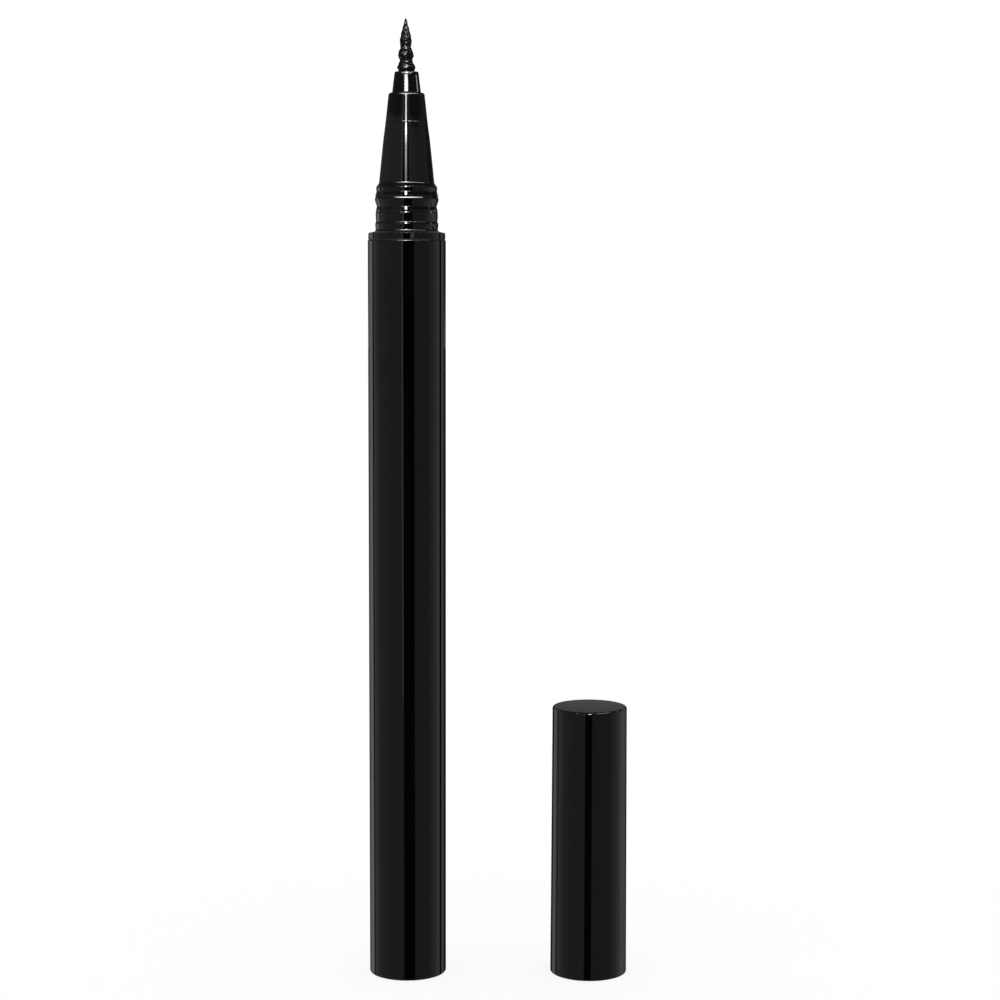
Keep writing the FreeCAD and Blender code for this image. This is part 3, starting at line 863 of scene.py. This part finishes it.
# Far behind the camera it is black. At the back stands a dark board, and the cap's top mirrors the glow
# across it. Two strips draw the thin pale lines beside the dark middle of the barrel and the cone.
# From here on a row also gives a board's lower and upper edge, before its tones.
GLOW_FOOT = 74
GLOW_TOP = 88
GLOW_SHARE = 14.0
board("far_black", (-16, 1300), (13, 1300), 100, 9000, (0.0, 0.0))
board("back_low", (-152, 240), (-210, 240), LOWER_FOOT, GLOW_FOOT, (0.02, 0.02))
board("back_glow", (-152, 240), (-210, 240), GLOW_FOOT, GLOW_TOP, (0.02, 0.02), foot_share=GLOW_SHARE)
board("back_high", (-152, 240), (-210, 240), GLOW_TOP, LOWER_TOP, (0.02, 0.02))
board("lower_strip", (-12.5, 205), (-10, 205), 0, LOWER_TOP, (0.9, 0.9))
board("middle_strip", (-20, 205), (-17, 205), LOWER_TOP, MIDDLE_TOP, (0.8, 0.8))

# The low lamp, faded at its foot, draws the bright line down the cone and the glint on the cap's edge,
# and the side lamp the pale lines on the right. The cross lamp and the high lamps light the edges of
# the rings and the nib's lumps, and the sleeve lamp the broad shine on the sleeve.
LAMPS = (
    ("low_lamp", (-5.4, 1200), (3.3, 1200), 500, 980, (40, 40)),
    ("cross_lamp", (-22, 205), (14, 205), 187, 199, (50, 50)),
    ("side_lamp", (101, 205), (110, 205), 156.5, 166, (6, 6)),
    ("high_lamp_left", (-56, 200), (-20, 200), 256, 338, (0, 30)),
    ("high_lamp", (-20, 200), (20, 200), 256, 338, (30, 30)),
    ("high_lamp_right", (20, 200), (54, 200), 256, 338, (30, 12)),
    ("high_lamp_end", (54, 200), (100, 200), 256, 338, (12, 4)),
    ("sleeve_lamp", (-14, 36), (14, 36), 124.6, 127.8, (25, 25)))
board("low_lamp_edge", (-5.4, 1200), (3.3, 1200), 376, 500, (25, 25), foot_share=0.0)
for lamp in LAMPS:
    board(*lamp)

# Small boards and flags stand near the sleeve and the nib and keep the lamps off most of them. Thin
# flags stand back to back between the pen and the cap, so that each mirrors its own.
NEAR_BOARDS = (
    ("tip_flag", (-70, 10), (70, 10), 127.5, 135, (0.0, 0.0)),
    ("left_tip_flag", (-80, 10), (-12, 10), 123.3, 127.5, (0.5, 5)),
    ("right_tip_flag", (18, 10), (80, 10), 123.3, 127.5, (3, 0.5)),
    ("left_near_board", (-22, 38), (-98, 38), (121.9, 119.3), 131, (0.1, 0.1)),
    ("left_near_end", (-98, 38), (-158, 38), (119.3, 115.2), 131, (0.1, 0.05)),
    ("right_near_board", (18, 38), (97, 38), (121.9, 119.3), 131, (0.08, 0.08)),
    ("right_near_end", (114, 38), (158, 38), (118.1, 115.2), 131, (0.08, 0.05)),
    ("right_near_flag", (95, 20), (116, 20), 110, 118.2, (0.19, 0.06)),
    ("pen_flag", (94, 11.95), (105, 12.25), -40, 97, (0.02, 0.02)),
    ("cap_flag", (94, 12.1), (105, 12.4), -40, 97, (0.25, 0.25)),
    ("cap_side_flag", (106, 12.9), (114, 14.6), -40, 97, (0.43, 0.5)))
for flag in NEAR_BOARDS:
    board(*flag)

# An almost level flag above the front of the cap keeps the high lamps off its top edge.
ROOF_FOOT = 45
ROOF_TOP = 45.1
ROOF_LEAN = 11
board("roof_flag", (41, 18), (56, 18.8), ROOF_FOOT, ROOF_TOP, (0.19, 0.19), lean=ROOF_LEAN)
board("roof_flag_end", (56, 18.8), (80, 20), ROOF_FOOT, ROOF_TOP, (0.19, 0.31), lean=ROOF_LEAN)

# The pen and the cap are lit as if each stood alone, so neither is mirrored in the other, and the neck
# isn't mirrored in itself.
UNMIRRORED = (barrel, tail_plug, neck, cap, retaining_ring, inner_cap, spring)
for piece in (*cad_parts.values(), *UNMIRRORED):
    piece.visible_glossy = False

world = bpy.data.worlds.new("studio_white")
world.use_nodes = True
world.node_tree.nodes["Background"].inputs["Color"].default_value = (1, 1, 1, 1)
bpy.context.scene.world = world
bpy.context.scene.view_settings.view_transform = "Standard"

# Camera
# A short telephoto lens in front of the pen, nearly as high as the barrel's mouth. It is tipped down,
# so that the cap's top shows.

LENS = 83.76
CAMERA_PLACE = (11.95, -300.0, 92.32)
CAMERA_TIP = 5.691
CAMERA_ROLL = -0.126
camera_data = bpy.data.cameras.new("camera")
camera_data.lens = LENS
camera = bpy.data.objects.new("camera", camera_data)
camera.location = np.array(CAMERA_PLACE) * MM
camera.rotation_euler = (math.radians(90 - CAMERA_TIP), math.radians(CAMERA_ROLL), 0)
bpy.context.scene.collection.objects.link(camera)
bpy.context.scene.camera = camera
